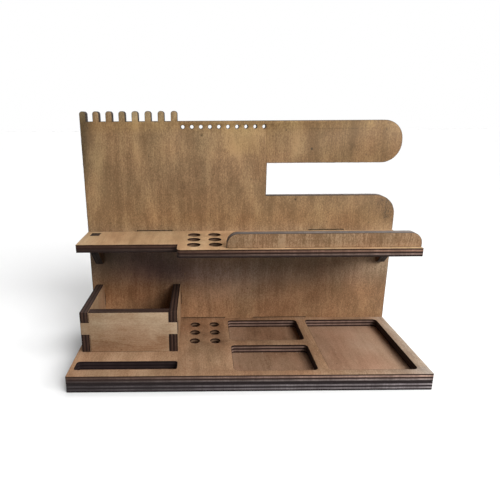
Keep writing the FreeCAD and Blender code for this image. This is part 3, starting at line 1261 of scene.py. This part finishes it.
@dataclass
class OpenBox(SubAssembly):
    """The open box on the base: two sides and a finger-jointed front.

    Args:
        edge: Finish of the walls' edges.
        front: Finish of the front.
        side: Finish of the two sides.
    """

    edge: Finish = BurntEdge(
        "box_edge",
        char=(0.020, 0.0108, 0.0085),
        core=(0.106, 0.060, 0.043),
        # Painted shade: the paler plies darken towards the stand's left end.
        painted_shade_left_share=0.5,
    )
    front: Finish = StainedFace(
        "box_front_stain",
        deep=(0.110, 0.062, 0.036),
        dark=(0.250, 0.143, 0.077),
        middle=(0.358, 0.236, 0.140),
        light=(0.510, 0.388, 0.260),
        figure=0.5,
        blotch=0.8,
        grain=0.25,
        line=0.4,
        mottle=0.7,
        marked=Side.LOWER,
        streaks=(
            Streak(40, -86, 11, 40, 0.22),
            Streak(36, -60, 16, 22, 0.14),
            Streak(34, -114, 14, 12, -0.10),
            Streak(17, -92, 7, 32, -0.08),
            Streak(31, -122, 8, 5, 0.26),
            Streak(31, -49, 8, 5, 0.20),
            Streak(19.5, -96, 0.9, 19, -0.16, -0.16),
            Streak(24, -62, 2.5, 4, -0.18),
        ),
    )
    side: Finish = StainedFace(
        "box_side_stain",
        deep=(0.090, 0.052, 0.030),
        dark=(0.205, 0.125, 0.070),
        middle=(0.305, 0.195, 0.112),
        light=(0.410, 0.285, 0.175),
        offset=1840.0,
    )

    def boards(self) -> tuple[PlyBoard, ...]:
        """Return the box's walls."""
        upright = Dressing(self.side, self.edge)
        return (
            PlyBoard("box_front_wall", Axis.DEPTH, Axis.ACROSS, Dressing(self.front, self.edge)),
            PlyBoard("box_left_wall", Axis.ACROSS, Axis.UP, upright),
            PlyBoard("box_right_wall", Axis.ACROSS, Axis.UP, upright),
        )


@dataclass(frozen=True)
class Viewpoint:
    """The camera: where it stands, how it is turned and how the picture is framed.

    Args:
        place: Where it stands.
        yaw: Turn to the right, in degrees.
        pitch: Turn upwards, in degrees.
        roll: Turn about its own axis, in degrees.
        focal: Focal length in pixels of the picture.
        centre: Pixel that its axis passes through.
        sensor: Width of its sensor.
        near: Distance from which it sees.
    """

    place: Place = (-32.27, -296.82, 181.02)
    yaw: float = 0.203
    pitch: float = -15.197
    roll: float = -0.352
    focal: float = 423.29
    centre: tuple[float, float] = (202.64, 232.68)
    sensor: float = 36.0
    near: float = 10.0

    def build(self) -> None:
        """Make the camera and look through it."""
        yaw, pitch, roll = (math.radians(turn) for turn in (self.yaw, self.pitch, self.roll))
        reach = math.cos(pitch)
        ahead = Vector((math.sin(yaw) * reach, math.cos(yaw) * reach, math.sin(pitch)))
        level = Vector((math.cos(yaw), -math.sin(yaw), 0.0))
        above = level.cross(ahead)
        right = level * math.cos(roll) + above * math.sin(roll)
        up = above * math.cos(roll) - level * math.sin(roll)
        data = bpy.data.cameras.new("viewpoint")
        data.sensor_width = self.sensor
        data.lens = self.sensor * self.focal / PICTURE
        data.shift_x = HALF - self.centre[0] / PICTURE
        data.shift_y = self.centre[1] / PICTURE - HALF
        data.clip_start = self.near * MM
        camera = bpy.data.objects.new("viewpoint", data)
        turned = Matrix((right, up, -ahead)).transposed().to_4x4()
        camera.matrix_world = Matrix.Translation(Vector(self.place) * MM) @ turned
        bpy.context.scene.collection.objects.link(camera)
        bpy.context.scene.camera = camera


@dataclass(frozen=True)
class Lamp:
    """A soft lamp aimed at the middle of the stand.

    Args:
        name: Name of the lamp.
        kind: Whether it is far off or near by.
        place: Where it stands, or the direction to a far lamp.
        level: Brightness that it gives a white surface facing it at the middle of the stand.
        spread: Angle that a far lamp fills in degrees, or the side of a near one.
        aim: Point that it is aimed at.
    """

    name: str
    kind: LampKind
    place: Place
    level: float
    spread: float
    aim: Place = (20.0, 0.0, 70.0)

    def build(self) -> None:
        """Make the lamp."""
        data = bpy.data.lights.new(self.name, self.kind.value)
        lamp = bpy.data.objects.new(self.name, data)
        towards = Vector(self.place)
        if self.kind is LampKind.FAR:
            data.energy = self.level * math.pi
            data.angle = math.radians(self.spread)
        else:
            towards = (towards - Vector(self.aim)) * MM
            data.energy = self.level * math.pi**2 * towards.length_squared
            data.size = self.spread * MM
            lamp.location = Vector(self.place) * MM
        lamp.rotation_mode = "QUATERNION"
        lamp.rotation_quaternion = towards.to_track_quat("Z", "Y")
        bpy.context.scene.collection.objects.link(lamp)


@dataclass(frozen=True)
class Studio:
    """White studio: pale floor, white surroundings and soft lamps.

    Args:
        floor_half: Half of the floor's side.
        floor_seen: Floor's brightness in the picture.
        floor_bounce: Brightness with which it lights the stand.
        surround: Brightness of the light from all round.
        lamps: The lamps.
    """

    floor_half: float = 6000.0
    floor_seen: float = 0.92
    floor_bounce: float = 0.14
    surround: float = 0.05
    lamps: tuple[Lamp, ...] = (
        Lamp("key", LampKind.FAR, (0.50, -0.62, 0.60), 0.78, 34.0),
        Lamp("side", LampKind.NEAR, (450.0, -250.0, 350.0), 0.48, 160.0),
        Lamp("ceiling", LampKind.FAR, (0.20, 0.30, 0.93), 0.62, 60.0),
    )

    def build(self) -> None:
        """Make the floor, the surroundings and the lamps."""
        self.build_floor()
        self.build_surroundings()
        for lamp in self.lamps:
            lamp.build()

    def build_floor(self) -> None:
        """Make the pale floor."""
        material = bpy.data.materials.new("pale_floor")
        graph = Graph(material)
        tone = self.seen_or_lit(graph, self.floor_seen, self.floor_bounce)
        shader = graph.node("BsdfDiffuse", {"Color": graph.vector(tone, tone, tone)})
        graph.node("OutputMaterial", {"Surface": shader.outputs["BSDF"]})
        mesh = bpy.data.meshes.new("floor")
        side = self.floor_half * MM
        corners = [(-side, -side, 0), (side, -side, 0), (side, side, 0), (-side, side, 0)]
        mesh.from_pydata(corners, [], [(0, 1, 2, 3)])
        mesh.materials.append(material)
        floor = bpy.data.objects.new("floor", mesh)
        bpy.context.scene.collection.objects.link(floor)

    def build_surroundings(self) -> None:
        """Make the surroundings, white to the eye and dimmer as light."""
        world = bpy.data.worlds.new("surroundings")
        graph = Graph(world)
        level = self.seen_or_lit(graph, 1.0, self.surround)
        background = graph.node("Background", {"Color": (*WHITE, 1.0), "Strength": level})
        graph.node("OutputWorld", {"Surface": background.outputs["Background"]})
        bpy.context.scene.world = world

    @staticmethod
    def seen_or_lit(graph: Graph, seen: float, lit: float) -> Socket:
        """Return a brightness that differs between what the eye sees and the light that is given.

        Args:
            graph: Tree to add the nodes to.
            seen: Brightness to the eye, straight or in a reflection.
            lit: Brightness as light on the stand.

        Returns:
            The brightness for each ray.
        """
        rays = graph.node("LightPath").outputs
        mirrored = graph.math("MAXIMUM", rays["Is Glossy Ray"], rays["Is Transmission Ray"])
        shown = graph.math("MAXIMUM", rays["Is Camera Ray"], mirrored)
        return graph.math("MULTIPLY_ADD", shown, seen - lit, lit)


def main() -> None:
    """Dress the stand board by board and set it in the studio."""
    logging.basicConfig(level=logging.INFO, format="%(name)s: %(message)s")
    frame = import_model()
    for assembly in (BaseStack(), BackPanel(), ShelfUnit(), OpenBox()):
        assembly.build(frame["nodes"])
        assembly.dress()
        for board in assembly.made:
            LOG.info("%s: %d faces", board.name, len(board.data.polygons))
    Studio().build()
    Viewpoint().build()
    bpy.context.scene.view_settings.view_transform = "Standard"


if __name__ == "__main__":
    main()
